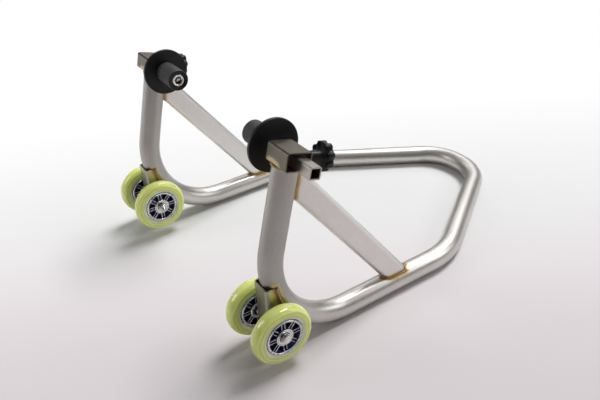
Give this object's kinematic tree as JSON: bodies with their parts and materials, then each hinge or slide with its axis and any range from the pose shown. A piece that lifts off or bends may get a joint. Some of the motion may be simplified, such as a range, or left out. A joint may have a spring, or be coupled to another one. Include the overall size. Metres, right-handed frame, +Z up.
{
  "type": "paddock stand",
  "caption": "Motorcycle rear paddock stand: bent tube frame with oval braces, twin wheels each side and clamped sliding swingarm rollers.",
  "frame": {"origin": "bottom centre of the bounding box: on the floor, in the stand's plane of symmetry, midway between the wheels' far edges and the outside of the handle", "axes": "+X from the wheels towards the handle, +Z up, +Y towards the stand's right side"},
  "size_m": [0.7019, 0.5828, 0.368],
  "materials": {
    "tube": "satin brushed bare metal with straw, brown and violet heat tint beside the welds",
    "fasteners": "bright zinc-plated steel",
    "bearing_steel": "ground bearing steel",
    "seals": "matt black rubber seal",
    "polyurethane": "glossy, slightly cloudy yellow-green cast polyurethane",
    "hub_alloy": "silver-grey cast aluminium",
    "black_plastic": "satin black plastic",
    "roller_rubber": "ribbed satin black rubber-like plastic"
  },
  "bodies": {
    "frame": {"frame_tube": "tube", "brace_left": "tube", "brace_right": "tube", "wheel_bracket_left": "tube", "wheel_bracket_right": "tube", "axle_bolt_left": "fasteners", "axle_bolt_right": "fasteners", "axle_nut_left": "fasteners", "axle_nut_right": "fasteners", "axle_washers_left": "fasteners", "axle_washers_right": "fasteners", "axle_spacers_left": "fasteners", "axle_spacers_right": "fasteners", "bearing_inner_rings_left": "bearing_steel", "bearing_inner_rings_right": "bearing_steel", "receiver_left": "tube", "receiver_right": "tube"},
    "wheel_outboard_left": {"tyre_outboard_left": "polyurethane", "hub_outboard_left": "hub_alloy", "bearing_outer_rings_outboard_left": "bearing_steel", "bearing_seals_outboard_left": "seals"},
    "wheel_inboard_left": {"tyre_inboard_left": "polyurethane", "hub_inboard_left": "hub_alloy", "bearing_outer_rings_inboard_left": "bearing_steel", "bearing_seals_inboard_left": "seals"},
    "adapter_left": {"slide_bar_left": "tube", "end_boss_left": "fasteners", "flange_disc_left": "black_plastic", "roller_sleeve_left": "fasteners", "roller_bolt_left": "fasteners", "clamp_nut_left": "fasteners"},
    "roller_left": {"roller_left": "roller_rubber"},
    "clamp_left": {"clamp_washer_left": "fasteners"},
    "knob_left": {"star_knob_left": "black_plastic", "knob_stud_left": "fasteners"},
    "wheel_outboard_right": {"tyre_outboard_right": "polyurethane", "hub_outboard_right": "hub_alloy", "bearing_outer_rings_outboard_right": "bearing_steel", "bearing_seals_outboard_right": "seals"},
    "wheel_inboard_right": {"tyre_inboard_right": "polyurethane", "hub_inboard_right": "hub_alloy", "bearing_outer_rings_inboard_right": "bearing_steel", "bearing_seals_inboard_right": "seals"},
    "adapter_right": {"slide_bar_right": "tube", "end_boss_right": "fasteners", "flange_disc_right": "black_plastic", "roller_sleeve_right": "fasteners", "roller_bolt_right": "fasteners", "clamp_nut_right": "fasteners"},
    "roller_right": {"roller_right": "roller_rubber"},
    "clamp_right": {"clamp_washer_right": "fasteners"},
    "knob_right": {"star_knob_right": "black_plastic", "knob_stud_right": "fasteners"}
  },
  "joints": [
    {"name": "wheel_outboard_left_spin", "type": "hinge", "parent": "frame", "child": "wheel_outboard_left", "pos_m": [-0.301, -0.266, 0.066], "axis": [0, 1, 0], "continuous": true},
    {"name": "wheel_inboard_left_spin", "type": "hinge", "parent": "frame", "child": "wheel_inboard_left", "pos_m": [-0.301, -0.189, 0.066], "axis": [0, 1, 0], "continuous": true},
    {"name": "adapter_left_slide", "type": "slide", "parent": "frame", "child": "adapter_left", "axis": [0, -1, 0], "range_m": [-0.008, 0.008]},
    {"name": "roller_left_spin", "type": "hinge", "parent": "adapter_left", "child": "roller_left", "pos_m": [-0.24161, -0.157, 0.32752], "axis": [0, 1, 0], "continuous": true},
    {"name": "clamp_left_travel", "type": "slide", "parent": "adapter_left", "child": "clamp_left", "axis": [0.9646, 0, -0.2639], "range_m": [0, 0.0025]},
    {"name": "knob_left_turn", "type": "hinge", "parent": "clamp_left", "child": "knob_left", "pos_m": [-0.22675, -0.237, 0.32346], "axis": [0.9646, 0, -0.2639], "range_deg": [0, 725]},
    {"name": "wheel_outboard_right_spin", "type": "hinge", "parent": "frame", "child": "wheel_outboard_right", "pos_m": [-0.301, 0.266, 0.066], "axis": [0, 1, 0], "continuous": true},
    {"name": "wheel_inboard_right_spin", "type": "hinge", "parent": "frame", "child": "wheel_inboard_right", "pos_m": [-0.301, 0.189, 0.066], "axis": [0, 1, 0], "continuous": true},
    {"name": "adapter_right_slide", "type": "slide", "parent": "frame", "child": "adapter_right", "axis": [0, 1, 0], "range_m": [-0.008, 0.008]},
    {"name": "roller_right_spin", "type": "hinge", "parent": "adapter_right", "child": "roller_right", "pos_m": [-0.24161, 0.157, 0.32752], "axis": [0, 1, 0], "continuous": true},
    {"name": "clamp_right_travel", "type": "slide", "parent": "adapter_right", "child": "clamp_right", "axis": [0.9646, 0, -0.2639], "range_m": [0, 0.0025]},
    {"name": "knob_right_turn", "type": "hinge", "parent": "clamp_right", "child": "knob_right", "pos_m": [-0.22675, 0.237, 0.32346], "axis": [0.9646, 0, -0.2639], "range_deg": [0, 725]}
  ],
  "couplings": [
    {"joint": "knob_left_turn", "follows": "clamp_left_travel", "rad_per_m": 5026.5},
    {"joint": "knob_right_turn", "follows": "clamp_right_travel", "rad_per_m": 5026.5}
  ]
}
